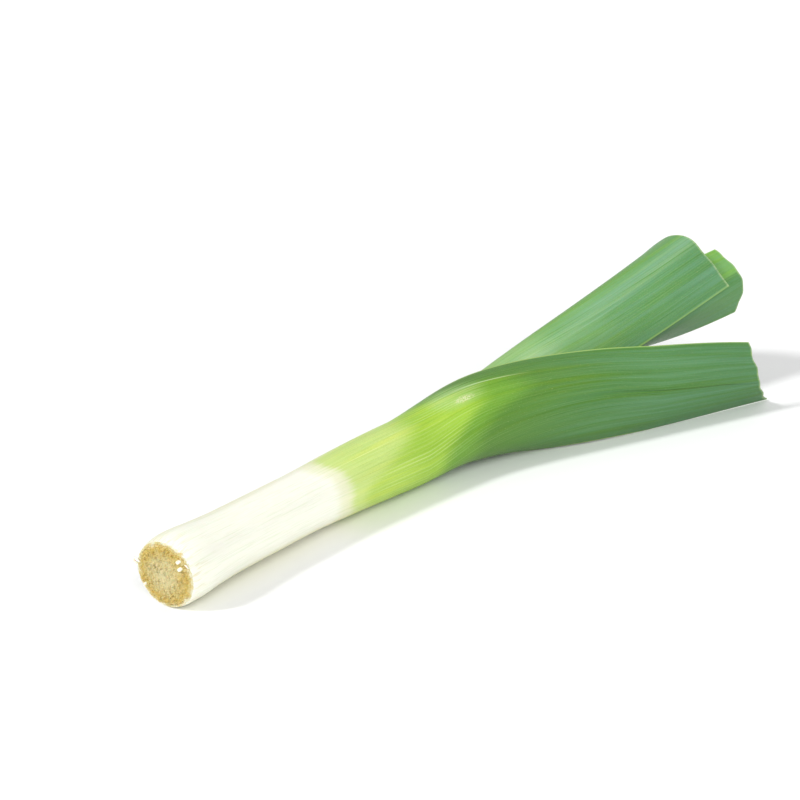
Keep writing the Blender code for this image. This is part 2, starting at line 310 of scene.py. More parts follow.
LEAVES = [
    Leaf("leaf_1_outer", layer=0, mouth=200, cut=451,
         heading=[(0, 0), (0.1, -5), (0.2, -12.6), (0.35, -17.0), (1, -14.6)],
         climb=[(0, 0), (0.06, 2), (0.14, 0), (0.3, -8), (0.5, -13.5), (1, -13.2)],
         facing=[(0, -24), (0.25, 5), (0.5, 14), (0.75, 0), (1, -16)],
         half_width=[(0.12, 53), (0.25, 44.5), (0.45, 36), (0.7, 29.8), (1, 25.6)],
         turn=[(0, 180), (0.12, 138), (0.25, 98), (0.45, 67), (0.7, 46), (1, 33)],
         keel=[(0, 0), (0.3, 0.1), (1, 0.3)],
         cut_slope=14.0, cut_bulge=-5.0, columns=240, rows=190, seed=3),
    Leaf("leaf_2", layer=1, mouth=222, cut=462,
         heading=[(0, 0), (0.15, 0.8), (0.4, -1.2), (0.65, -2.4), (1, -1.4)],
         climb=[(0, 0), (0.3, 3.0), (0.6, 4.0), (1, 4.3)],
         facing=[(0, 150), (0.3, 120), (0.6, 94), (1, 80)],
         half_width=[(0.15, 48), (0.35, 45), (0.6, 43.5), (1, 44)],
         turn=[(0, 180), (0.15, 140), (0.35, 100), (0.6, 74), (1, 54)],
         keel=[(0, 0), (0.3, 0.2), (0.6, 0.55), (1, 0.85)],
         cut_slope=7.0, cut_bulge=1.0, columns=220, rows=190, seed=5),
    Leaf("leaf_3", layer=2, mouth=244, cut=487,
         heading=[(0, 0), (0.1, -0.3), (0.35, -6.2), (1, -3.6)],
         climb=[(0, 0), (0.1, -0.1), (0.35, -3), (1, -2.9)],
         facing=[(0, -25), (0.4, -16), (1, 14)],
         half_width=[(0.07, 41.5), (0.15, 36), (0.35, 34), (0.6, 33.4), (1, 25)],
         turn=[(0, 180), (0.15, 140), (0.35, 104), (0.6, 74), (1, 38)],
         keel=[(0, 0), (0.3, 0.2), (0.6, 0.5), (1, 0.7)],
         cut_slope=2.0, cut_bulge=4.0, columns=180, rows=180, seed=8),
    Leaf("leaf_4", layer=3, mouth=262, cut=448,
         heading=[(0, 0), (0.2, 0.3), (1, -1)],
         climb=[(0, 0), (0.2, 0), (0.5, 1.2), (1, 1)],
         facing=[(0, 150), (0.4, 135), (1, 110)],
         half_width=[(0.07, 33.7), (0.15, 29.7), (0.35, 27.0), (0.6, 25.7), (1, 24)],
         turn=[(0, 180), (0.15, 145), (0.35, 110), (0.6, 90), (1, 74)],
         keel=[(0, 0), (0.3, 0.2), (1, 0.5)],
         cut_slope=1.0, cut_bulge=3.0, columns=120, rows=140, seed=9),
    Leaf("leaf_5", layer=4, mouth=276, cut=430,
         heading=[(0, 0), (0.2, 0), (1, -1.5)],
         climb=[(0, 0), (0.2, 0), (1, -0.5)],
         facing=[(0, -25), (1, -30)],
         half_width=[(0.1, 25.5), (0.2, 23.2), (0.5, 20), (1, 16.5)],
         turn=[(0, 180), (0.2, 150), (0.5, 125), (1, 100)],
         keel=[(0, 0), (0.3, 0.2), (1, 0.5)],
         cut_slope=0.0, cut_bulge=2.0, columns=90, rows=120, seed=10),
    Leaf("leaf_6_heart", layer=5, mouth=290, cut=385,
         heading=[(0, 0), (0.3, 0), (1, -1)],
         climb=[(0, 0), (0.3, 0), (1, -0.4)],
         facing=[(0, 150), (1, 150)],
         half_width=[(0.3, 15.6), (1, 10.5)],
         turn=[(0, 180), (0.3, 150), (1, 110)],
         keel=[(0, 0), (1, 0.3)],
         cut_slope=0.0, cut_bulge=1.0, columns=60, rows=90, seed=11),
]
print("leaves", [leaf.name for leaf in LEAVES])

# %% [markdown]
# ## Smooth curves
#
# A leaf bends without kinks, so the values between two pairs of a list must flow. A plain spline can
# swing past its points and would make bulges that no one asked for. This curve has a slope of nothing
# wherever the values turn back, so it never leaves the range of its pairs.

# %% A curve through the pairs of a list
def eased(pairs, at):
    """A smooth curve through the pairs that never swings past them, read at one place or many."""
    x = np.array([pair[0] for pair in pairs], float)
    y = np.array([pair[1] for pair in pairs], float)
    step = np.diff(x)
    rise = np.diff(y) / step
    slope = np.concatenate([rise[:1], np.zeros(len(x) - 2), rise[-1:]])
    for i in range(1, len(x) - 1):
        if rise[i - 1] * rise[i] > 0:
            before = 2 * step[i] + step[i - 1]
            after = step[i] + 2 * step[i - 1]
            slope[i] = (before + after) / (before / rise[i - 1] + after / rise[i])
    at = np.clip(np.asarray(at, float), x[0], x[-1])
    i = np.clip(np.searchsorted(x, at, side="right") - 1, 0, len(step) - 1)
    t = (at - x[i]) / step[i]
    start = (2 * t**3 - 3 * t**2 + 1) * y[i] + (t**3 - 2 * t**2 + t) * step[i] * slope[i]
    end = (3 * t**2 - 2 * t**3) * y[i + 1] + (t**3 - t**2) * step[i] * slope[i + 1]
    return start + end


print("the shaft's radius 75 mm from the roots is", round(float(eased(SHAFT_RADIUS, 75)), 2), "mm")

# %% [markdown]
# ## The line down a leaf's middle
#
# A leek that has lain in a crate is never straight. Its line is walked in steps of one millimetre, each
# step turned a little from the one before by the heading and the climb. The leaves share the shaft's
# bends, and each adds those of its own blade.

# %% Walk along the leek
class Run:
    """The line that a leaf's sheath is centred on, and its blade runs beside, read at any distance."""

    def __init__(self, leaf):
        self.at = np.arange(0.0, leaf.cut + 1.0)
        blade = (self.at - leaf.mouth) / (leaf.cut - leaf.mouth)
        turned = np.radians(eased(HEADING, self.at) + eased(leaf.heading, blade))
        climbed = np.radians(eased(CLIMB, self.at) + eased(leaf.climb, blade))
        along = [np.cos(climbed) * np.cos(turned), np.cos(climbed) * np.sin(turned), np.sin(climbed)]
        self.along = np.stack(along, axis=1)
        steps = (self.along[1:] + self.along[:-1]) / 2
        self.points = np.vstack([[0, 0, 0], np.cumsum(steps, axis=0)]) + [0, 0, ROOT_HEIGHT]

    def point(self, at):
        inside = np.clip(at, 0, self.at[-1])
        middle = np.array([np.interp(inside, self.at, self.points[:, k]) for k in range(3)])
        return middle + (at - inside) * self.direction(at)

    def direction(self, at):
        return np.array([np.interp(at, self.at, self.along[:, k]) for k in range(3)])


outer_run = Run(LEAVES[0])
print("the outer leaf's line ends at", outer_run.points[-1].round(1), "mm from the root face")

# %% [markdown]
# ## A leaf's skin
#
# A leaf could be modelled by hand from a flat blank: a grid, rolled up at one end and folded at the
# other. Moving points by eye would never keep six leaves one inside the other, so the blank is an
# ordinary grid primitive, and a formula gives each of its points a place. Columns of the grid run along
# the leaf as its veins do, so the fine ribs follow them. Then the tube's two edges are merged in edit
# mode, and a Solidify modifier gives the leaf its thickness, thinner towards its margins.

# %% A leaf cut across
def section(half_width, turn, keel, part):
    """A leaf cut across: how far each point lies to the side and inward of the keel, and how it faces."""
    fine = np.linspace(0, 1, 241)
    middle = (fine[1:] + fine[:-1]) / 2

    def facing(share):
        crease = (1 - np.exp(-share / CREASE)) / (1 - math.exp(-1 / CREASE))
        return math.radians(turn) * ((1 - keel) * share + keel * crease)

    step = half_width / (len(fine) - 1)
    side = np.concatenate([[0], np.cumsum(np.cos(facing(middle)) * step)])
    inward = np.concatenate([[0], np.cumsum(np.sin(facing(middle)) * step)])
    share = np.abs(part)
    sign = np.sign(part)
    return sign * np.interp(share, fine, side), np.interp(share, fine, inward), sign * facing(share)


reach = section(40, 60, 0.5, np.array([1.0]))[0]
print("half a blade of 40 mm, folded by 60 degrees, reaches", reach.round(1), "mm out")

# %% [markdown]
# ## Both ends of a leaf
#
# The outer leaf starts at the cut face, and the younger ones start higher on the cone of stem inside.
# At the far end a knife has gone through all the leaves at once, a little askew and not quite clean, so
# the last rows of each blade are moved along by a slope, a bulge and three small waves.

# %% Where a leaf starts and how its cut runs
def ragged(part, leaf):
    """How far the knife's cut runs past the blade's end, across the blade."""
    draw = random.Random(leaf.seed)
    line = leaf.cut_slope * part - leaf.cut_bulge * part**2
    for waves in (5, 9, 14):
        line = line + draw.uniform(0.25, 0.5) * np.sin(waves * part + draw.uniform(0, 6.3))
    return line


def sheath_radius(leaf, at):
    """The outer radius of a leaf's sheath: each leaf's is one layer less than the leaf's round it."""
    return float(eased(SHAFT_RADIUS, at)) - leaf.layer * LAYER


def sheath_start(leaf):
    """Where a leaf begins: the outer one at the cut face, the others on the plate's inner cone."""
    if leaf.layer == 0:
        return OUTER_BASE
    (widest, start), (narrowest, end) = PLATE_CONE
    inner_radius = sheath_radius(leaf, start) - SHEATH_WALL[-1][1]
    return start + (end - start) * (widest - inner_radius) / (widest - narrowest) + CLEARANCE


print("the leaves start at", [round(sheath_start(leaf), 1) for leaf in LEAVES], "mm")

# %% [markdown]
# ## One row of a leaf
#
# A row of the grid becomes one ring of the tube, or one fold of the blade. It gets its width, its fold
# and its thickness at that distance, and stands across the leaf's line. The ribs are so low that they
# only catch the light, and they fade out where the outer leaf opens.

# %% Place one row of points
RIBS = 60
RIB_HEIGHT = 0.025
RIBS_SHOWN = (60, 140, 210, 270)


def leaf_ring(leaf, run, at, part):
    """The outer points of one row across a leaf, and the leaf's thickness at each."""
    blade = max(0.0, (at - leaf.mouth) / (leaf.cut - leaf.mouth))
    radius = sheath_radius(leaf, min(at, leaf.mouth))
    half_width = float(eased([(0, math.pi * radius)] + leaf.half_width, blade))
    turn = float(eased(leaf.turn, blade))
    side, inward, angle = section(half_width, turn, float(eased(leaf.keel, blade)), part)
    sheath_wall = min(float(eased(SHEATH_WALL, at)), MOST_WALL * radius)
    thin = float(eased(BLADE_THINS, blade))
    wall = (sheath_wall + (BLADE_WALL - sheath_wall) * thin) * (1 - MARGIN_THINNING * thin * part**4)
    overrun = ragged(part, leaf) * max(0.0, (blade - RAGGED_FROM) / (1 - RAGGED_FROM)) ** 2

    along = run.direction(at)
    right = np.cross(along, [0, 0, 1])
    right /= np.linalg.norm(right)
    up = np.cross(right, along)
    turned = math.radians(float(eased(leaf.facing, blade)))
    keel = math.cos(turned) * right + math.sin(turned) * up
    across = np.cross(along, keel)
    middle = np.array([run.point(at + past) for past in overrun])
    outer = middle + (radius - inward)[:, None] * keel + side[:, None] * across
    outward = np.cos(angle)[:, None] * keel + np.sin(angle)[:, None] * across
    shown = np.interp(at, RIBS_SHOWN, (0, 1, 1, 0))
    ribs = RIB_HEIGHT * np.cos(2 * math.pi * RIBS * part / 2) * shown
    return outer + (ribs - RIB_HEIGHT)[:, None] * outward, wall


points, walls = leaf_ring(LEAVES[0], outer_run, 100.0, np.linspace(-1, 1, 9))
print("100 mm from the roots the outer leaf is", walls.round(2).max(), "mm thick")

# %% [markdown]
# ## From a flat blank to a leaf
#
# The blank is a square grid, and its rows are sent to their places one after another. What would sink
# into the table is pressed flat, as the leek's weight does. The UV map is filled in at the same time:
# U is the place across the leaf, and V its distance from the roots, so a pattern can follow the veins.

# %% Shape the blank
LONGEST = 500             # millimetres from the roots, where V reaches 1
DENSE_SHARE = 0.06        # the first part of the rows, which stands closer
DENSE_LENGTH = 6


def mark_blank(blank, leaf):
    """Moves the grid's points onto the leaf and gives each its distance, thickness and place across."""
    rows = np.array([vertex.co for vertex in blank.data.vertices])
    run = Run(leaf)
    share = (rows[:, 1] + 1) / 2
    start = sheath_start(leaf)
    distance = np.interp(share, [0, DENSE_SHARE, 1], [start, start + DENSE_LENGTH, leaf.cut])
    places = np.zeros((len(rows), 3))
    walls = np.zeros(len(rows))
    for at in np.unique(distance.round(5)):
        row = np.nonzero(np.abs(distance - at) < 1e-4)[0]
        places[row], walls[row] = leaf_ring(leaf, run, float(at), rows[row, 0])
        lowest = places[row, 2].min()
        places[row, 2] += max(0.0, -lowest - FLAT_DEPTH)
    places[:, 2] = np.maximum(places[:, 2], 0)
    places = (places + ROOT_PLACE) * MM
    blank.data.vertices.foreach_set("co", places.ravel())
    uv = blank.data.uv_layers.active.data
    for loop in blank.data.loops:
        uv[loop.index].uv = ((rows[loop.vertex_index, 0] + 1) / 2, distance[loop.vertex_index] / LONGEST)
    return distance, walls


print("one unit of V is", LONGEST, "mm")

# %% [markdown]
# ## Close the tube and give the leaf its wall
#
# Along the sheath both side edges of the blank meet, and merging them by distance closes the tube. The
# blade stays open. Solidify then grows the wall inwards, by the share that each point's vertex group
# says, and gives the inner face and the cut edge a material of their own. Six leaves go the same way.

# %% Make the leaves
MEETING_DISTANCE = 0.00005
SHARP_ANGLE = math.radians(50)


def close_sheath(blank, distance, leaf):
    """Merges the two side edges of the grid along the tube, in edit mode."""
    bpy.ops.object.mode_set(mode="EDIT")
    bpy.ops.mesh.select_all(action="DESELECT")
    bpy.ops.object.mode_set(mode="OBJECT")
    for vertex in blank.data.vertices:
        column = vertex.index % (leaf.columns + 1)
        vertex.select = column in (0, leaf.columns) and distance[vertex.index] <= leaf.mouth
    bpy.ops.object.mode_set(mode="EDIT")
    bpy.ops.mesh.remove_doubles(threshold=MEETING_DISTANCE)
    bpy.ops.object.mode_set(mode="OBJECT")


def make_leaf(leaf):
    """A leaf as one closed piece: grid, formula, merged tube and Solidify."""
    bpy.ops.object.select_all(action="DESELECT")
    bpy.ops.mesh.primitive_grid_add(x_subdivisions=leaf.columns, y_subdivisions=leaf.rows, size=2)
    blank = bpy.context.object
    blank.name = leaf.name.replace("leaf", "fine_leaf")
    distance, walls = mark_blank(blank, leaf)
    thick = float(walls.max())
    group = blank.vertex_groups.new(name="wall")
    for index, wall in enumerate(walls):
        group.add([index], float(wall) / thick, "REPLACE")
    close_sheath(blank, distance, leaf)
    solid = blank.modifiers.new("wall", "SOLIDIFY")
    solid.thickness = thick * MM
    solid.offset = -1
    solid.vertex_group = "wall"
    solid.thickness_vertex_group = 0.0
    solid.material_offset = 1
    solid.material_offset_rim = 2
    bpy.ops.object.modifier_apply(modifier="wall")
    bpy.ops.object.shade_smooth_by_angle(angle=SHARP_ANGLE)
    blank.data.update()
    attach(blank, "root")
    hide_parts(leaf.name)
    print(blank.name, "triangles", sum(len(face.vertices) - 2 for face in blank.data.polygons))
    return blank


leaves = {leaf.name: make_leaf(leaf) for leaf in LEAVES}
print("leaves made", len(leaves))

# %% [markdown]
# ## The colours of the leaves
#
# Buried in soil, the shaft stays cream white. Above it the leaf greens in a streaky ring, passes through
# yellow-green and ends dark under a bluish wax. Each leaf has its own list of colours by the distance
# from the roots, because the younger ones green later and stay lighter.

# %% List the colours from root to cut
WHITE = (0.90, 0.90, 0.79)
CREAM = (0.80, 0.805, 0.58)
GREENS = {
    "leaf_1_outer": [(0, WHITE), (114, WHITE), (125, CREAM), (137, (0.57, 0.70, 0.23)),
                     (150, (0.46, 0.64, 0.11)), (205, (0.33, 0.54, 0.055)), (236, (0.16, 0.34, 0.038)),
                     (268, (0.10, 0.23, 0.036)), (340, (0.078, 0.208, 0.044)),
                     (451, (0.066, 0.192, 0.056))],
    "leaf_2": [(0, WHITE), (150, CREAM), (190, (0.45, 0.62, 0.16)), (300, (0.38, 0.57, 0.24)),
               (335, (0.18, 0.37, 0.10)), (400, (0.12, 0.30, 0.085)), (462, (0.105, 0.27, 0.10))],
    "leaf_3": [(0, WHITE), (170, CREAM), (230, (0.45, 0.62, 0.16)), (330, (0.28, 0.50, 0.11)),
               (410, (0.19, 0.41, 0.09)), (487, (0.18, 0.40, 0.085))],
    "leaf_4": [(0, WHITE), (200, CREAM), (290, (0.50, 0.65, 0.20)), (370, (0.32, 0.51, 0.11)),
               (448, (0.22, 0.42, 0.08))],
    "leaf_5": [(0, WHITE), (230, CREAM), (330, (0.55, 0.68, 0.24)), (430, (0.36, 0.54, 0.14))],
    "leaf_6_heart": [(0, WHITE), (260, CREAM), (385, (0.58, 0.69, 0.28))],
}
PALE_VEIN = (0.62, 0.75, 0.36)
# Painted shade, laid along the creases of the outer and third leaves.
PAINTED_CREASE_SHADE = (0.03, 0.10, 0.02)
print("colours from root to cut", {name: len(stops) for name, stops in GREENS.items()})

# %% [markdown]
# ## Places on a leaf
#
# Every pattern follows the leaf's UV map, so the veins bend with the blade. U comes back to its start
# round the tube, and a noise laid on it would break where the edges meet. So U is first turned into a
# point on a circle. Drawing the noise out along V makes streaks of it, as plant fibres run.

# %% A finish that knows its place on the leaf
RING_RADIUS = 18.0


class LeafFinish(Finish):
    """A finish that knows its place on the leaf: across from 0 to 1, along in millimetres."""

    def __init__(self, name, roughness, **sockets):
        super().__init__(name, roughness, **sockets)
        split = self.tree.nodes.new("ShaderNodeSeparateXYZ")
        self.set(split.inputs[0], self.tree.nodes.new("ShaderNodeUVMap").outputs["UV"])
        self.across = split.outputs[0]
        self.along = self.math("MULTIPLY", split.outputs[1], float(LONGEST))
        turn = self.math("MULTIPLY", self.across, 2 * math.pi)
        self.ring = []
        for wave in ("COSINE", "SINE"):
            self.ring.append(self.math("MULTIPLY", self.math(wave, turn), RING_RADIUS))
        self.aside = self.math("ABSOLUTE", self.math("SUBTRACT", self.across, 0.5))

    def streaks(self, stretch, scale, detail=2.0, roughness=0.5):
        """A noise drawn out along the leaf, which meets itself where the tube's edges join."""
        place = self.vector(*self.ring, self.math("MULTIPLY", self.along, stretch))
        return self.noise(place, scale, detail, roughness)

    def spread(self, noise, reach):
        """A noise turned into a shift of up to about half the reach to either side of 0."""
        return self.math("MULTIPLY", self.math("SUBTRACT", noise, 0.5), reach)

    def veins(self, count):
        """1 on each vein's crest and 0 midway between two veins."""
        wave = self.math("COSINE", self.math("MULTIPLY", self.across, 2 * math.pi * count))
        return self.math("MULTIPLY_ADD", wave, 0.5, 0.5)

    def line(self, middle, width):
        """1 along a thin line that runs down the leaf, 0 beside it."""
        off = self.math("ABSOLUTE", self.math("SUBTRACT", self.across, middle))
        return self.between(off, width, width * 0.3)

    def patch(self, across, along, wide, long):
        """1 in the middle of a soft oval patch, 0 outside it."""
        x = self.math("DIVIDE", self.math("SUBTRACT", self.across, across), wide)
        y = self.math("DIVIDE", self.math("SUBTRACT", self.along, along), long)
        square = self.math("ADD", self.math("MULTIPLY", x, x), self.math("MULTIPLY", y, y))
        return self.between(square, 1.0, 0.0)


print("patterns on a leaf", [step for step in vars(LeafFinish) if not step.startswith("_")])

# %% [markdown]
# ## From white to dark green
#
# The change of colour is no clean ring: it reaches further on one side, and the veins and streaks carry
# the green into the white. So the distance is first shifted by a wave round the leaf, two noises and the
# ribs, and the colours are looked up after that. On the outer leaf the change also runs slantwise at the
# neck, and a paler tongue reaches up the middle, partly the leaf's own paler colour and partly a painted
# highlight where light falls from above.

# %% Colour by distance from the roots
def zone_colour(finish, leaf, fine, patches):
    """The leaf's colour by its distance from the roots, with streaky changes from one zone to the next."""
    tilt = finish.math("COSINE", finish.math("MULTIPLY_ADD", finish.across, 2 * math.pi, -0.4))
    at = finish.math("MULTIPLY_ADD", tilt, 6.0, finish.along)
    at = finish.math("ADD", at, finish.spread(fine, -9.0))
    at = finish.math("ADD", at, finish.spread(patches, -20.0))
    at = finish.math("MULTIPLY_ADD", finish.veins(RIBS), -1.5, at)
    if leaf.layer == 0:
        front = finish.between(finish.across, 0.52, 0.27)
        front = finish.product(front, finish.between(finish.across, 0.0, 0.22))
        lean = finish.math("MULTIPLY_ADD", front, -52.0, 18.0)
        at = finish.math("MULTIPLY_ADD", finish.between(finish.along, 198.0, 228.0), lean, at)
    green = finish.ramp(at, GREENS[leaf.name], LONGEST)
    if leaf.layer == 0:
        # The paler tongue up the outer leaf: partly its own paler tissue, partly a painted highlight from
        # above.
        reach = finish.math("MULTIPLY_ADD", finish.between(finish.aside, 0.0, 0.27), 58.0, 138.0)
        past = finish.math("ADD", finish.math("SUBTRACT", finish.along, reach), finish.spread(fine, 36.0))
        pale = finish.product(finish.between(past, 14.0, -14.0), finish.between(at, 130.0, 140.0), 0.8)
        green = finish.mix(pale, green, (0.57, 0.71, 0.23))
    return green


print("zones of the outer leaf end at", [at for at, _ in GREENS["leaf_1_outer"]], "mm")

# %% [markdown]
# ## Marks on the outer leaf's shaft
#
# Close up, a leek's white shaft isn't even. It is yellower and darker underneath, its top is painted a
# little darker as shade, thin tan fibres start at the roots and faint ones run along it, and where the
# leaf opens it has a scuff. Each mark is a share from 0 to 1, made of an oval patch or a stretch of the
# length, times a streaky noise, which mixes its colour in.

# %% Mark the shaft
def shaft_marks(finish, colour, fine):
    """A yellower, darker underside, the top painted a little darker as shade, fibres from the roots, a
    pale shoulder and a scuff at the neck.
    """
    shoulder = finish.product(finish.patch(0.175, 243.0, 0.13, 24.0), finish.between(fine, 0.2, 0.7), 0.5)
    colour = finish.mix(shoulder, colour, (0.50, 0.66, 0.38))
    # Yellower and darker along the underside.
    under = finish.product(finish.patch(0.61, 75.0, 0.10, 110.0), 0.75)
    colour = finish.mix(under, colour, (0.78, 0.76, 0.42))
    # Painted shade: the top of the shaft is a little darker and yellower, where less light falls on it.
    above = finish.product(finish.patch(0.07, 60.0, 0.12, 120.0), 0.85)
    colour = finish.mix(above, colour, (0.77, 0.76, 0.53))
    grit = finish.between(finish.streaks(0.8, 1.6, 3.0), 0.42, 0.6)
    scuff = finish.product(finish.patch(0.231, 246.0, 0.03, 9.0), grit, 0.8)
    colour = finish.mix(scuff, colour, (0.72, 0.70, 0.46))
    fibres = finish.streaks(0.12, 1.1, 3.0)
    rooted = finish.between(finish.along, 16.0, 1.0)
    tan = finish.product(rooted, finish.between(fibres, 0.46, 0.66), 0.42)
    colour = finish.mix(tan, colour, (0.66, 0.55, 0.28))
    blanched = finish.between(finish.along, 130.0, 100.0)
    faint = finish.product(blanched, finish.between(fibres, 0.45, 0.7), 0.14)
    return finish.mix(faint, colour, (0.76, 0.75, 0.56))


print("the white shaft ends about", GREENS["leaf_1_outer"][1][0], "mm from the roots")

# %% [markdown]
# ## Painted light and shade at the folds of the blades
#
# Where a blade folds, light falls on both sides of the fold differently, and here that light and shade
# are painted into the colour. The outer leaf has a pale line under its margin, a painted highlight with
# painted shade beside it, and a dark crease of painted shade that wanders near the cut, with the half
# below it painted darker. The second leaf has a pale ridge, partly its paler midrib and partly a painted
# highlight, and a flank tinted yellow-green, partly painted light where it faces up, and the third a half
# painted dark as shade, with a dark line of painted shade where it starts. Each is a line down the leaf
# whose place across it changes with the distance.

# %% Mark the blades
def outer_fold_light_and_shade(finish, colour):
    """Painted light and shade at the outer leaf's folds: the second pale line under its margin, a painted
    highlight with painted shade beside it, and the crease of its blade, a dark line of painted shade with
    the half below it painted darker.
    """
    lit = finish.between(finish.along, 238.0, 256.0)
    lit = finish.product(lit, finish.between(finish.along, 298.0, 268.0))
    turned = finish.math("MULTIPLY_ADD", finish.along, 0.0006, -0.007)
    # Painted shade in a strip beside the second pale line, and the line itself as a painted highlight on
    # the fold.
    shaded = finish.between(finish.across, turned, finish.math("SUBTRACT", turned, 0.02))
    colour = finish.mix(finish.product(shaded, lit, 0.35), colour, (0.10, 0.22, 0.05))
    colour = finish.mix(finish.product(finish.line(turned, 0.006), lit, 0.8), colour, (0.48, 0.62, 0.32))
    # Painted shade: a dark line along the blade's crease, and the half below it darker, turned from the
    # light.
    crease = finish.math("MULTIPLY_ADD", finish.between(finish.along, 343.0, 425.0), 0.035, 0.458)
    crease = finish.math("MULTIPLY_ADD", finish.between(finish.along, 420.0, 450.0), 0.05, crease)
    shown = finish.between(finish.along, 300.0, 380.0)
    colour = finish.mix(finish.product(finish.line(crease, 0.012), shown, 0.6), colour, PAINTED_CREASE_SHADE)
    below = finish.between(finish.across, crease, finish.math("ADD", crease, 0.03))
    return finish.mix(finish.product(below, shown, 0.3), colour, (0.045, 0.155, 0.03))


def second_fold_light(finish, colour, fine):
    """The pale ridge of the second leaf, partly its paler midrib and partly a painted highlight, and a
    yellow-green flank, partly painted light where it faces up, so the other side shows darker.
    """
    # Painted light: the ridge line is partly a paler midrib, partly a highlight; the flank is tinted as if
    # lit from above.
    ridge = finish.math("MULTIPLY_ADD", finish.along, -0.00068, 0.876)
    beside = finish.between(finish.across, ridge, finish.math("SUBTRACT", ridge, 0.05))
    colour = finish.mix(finish.product(beside, 0.5), colour, (0.17, 0.37, 0.085))
    pale = finish.product(finish.line(ridge, 0.08), finish.between(fine, 0.3, 0.6), 0.5)
    return finish.mix(pale, colour, (0.30, 0.48, 0.27))


def third_fold_shade(finish, colour):
    """The third leaf's half that faces down, painted darker as shade, and a dark line of painted shade
    along the fold where it starts.
    """
    painted_shade_half = finish.product(finish.between(finish.across, 0.38, 0.43), 0.8)
    colour = finish.mix(painted_shade_half, colour, (0.085, 0.24, 0.085))
    return finish.mix(finish.product(finish.line(0.40, 0.005), 0.6), colour, PAINTED_CREASE_SHADE)


def marks(finish, leaf, colour, fine):
    """The marks, painted shade and painted highlights that are peculiar to one leaf."""
    if leaf.layer == 0:
        return outer_fold_light_and_shade(finish, shaft_marks(finish, colour, fine))
    if leaf.layer == 1:
        return second_fold_light(finish, colour, fine)
    if leaf.layer == 2:
        return third_fold_shade(finish, colour)
    return colour


print("leaves with marks of their own", [leaf.name for leaf in LEAVES if leaf.layer < 3])

# %% [markdown]
# ## Streaks, cells and veins
#
# A leaf's skin is a patchwork of long cells over pale veins. It could be one noise, but the eye finds
# that out at once. Here several, from broad bands to fine threads, each make the colour a little darker,
# lighter or yellower, and they grow stronger where the leaf is green.

# %% Streak the skin
def streaked(finish, leaf, colour, fine, broad, cells, faded):
    """The colour with pale veins, dark, light and yellow streaks, and the grain of the cells."""
    greened = finish.between(finish.along, leaf.mouth * 0.62, leaf.mouth * 0.8)
    grown = finish.between(finish.along, 250.0, 330.0)
    crest = finish.between(finish.veins(RIBS), 0.5, 1.0)
    vein = finish.product(crest, greened, faded, finish.between(fine, 0.35, 0.7), 0.32)
    colour = finish.mix(vein, colour, PALE_VEIN)
    stronger = finish.math("MULTIPLY_ADD", grown, 0.2, 0.26)
    dark_streak = finish.product(finish.between(fine, 0.5, 0.25), greened, stronger)
    colour = finish.tinted(dark_streak, colour, (0.45, 0.62, 0.3))
    stronger = finish.math("MULTIPLY_ADD", grown, 0.1, 0.28)
    light_streak = finish.product(finish.between(fine, 0.52, 0.8), greened, stronger)
    colour = finish.tinted(light_streak, colour, (1.7, 1.4, 1.9))
    threads = finish.between(finish.streaks(0.015, 2.4, 1.0), 0.5, 0.3)
    thread = finish.product(threads, finish.math("MULTIPLY_ADD", grown, 0.35, 0.3))
    colour = finish.tinted(thread, colour, (0.66, 0.78, 0.55))
    yellower = finish.product(finish.between(broad, 0.48, 0.7), greened, 0.45 if leaf.layer == 0 else 0.2)
    colour = finish.tinted(yellower, colour, (1.25, 1.08, 0.62))
    shade = finish.product(finish.between(cells, 0.55, 0.35), greened, 0.35)
    colour = finish.tinted(shade, colour, (0.72, 0.80, 0.66))
    speck = finish.product(finish.between(cells, 0.66, 0.74), greened, 0.3)
    return finish.mix(speck, colour, PALE_VEIN)


print("veins across a leaf", RIBS)

# %% [markdown]
# ## Both faces of a leaf
#
# Last come the wax, the pale margins and the thin dried line along the knife's cut. The wax makes the
# skin bluer and duller, more so on the outer face, and it lies unevenly, because hands have rubbed it
# off in places. The same noises also drive the bump, so what looks like a streak also feels like one.

# %% Finish a leaf's face
BLOOM = {"leaf_1_outer": 0.35, "leaf_2": 0.55, "leaf_3": 0.3, "leaf_4": 0.2, "leaf_5": 0.1,
         "leaf_6_heart": 0.1}
WAX = (0.18, 0.36, 0.25)
MARGIN = (0.40, 0.58, 0.16)


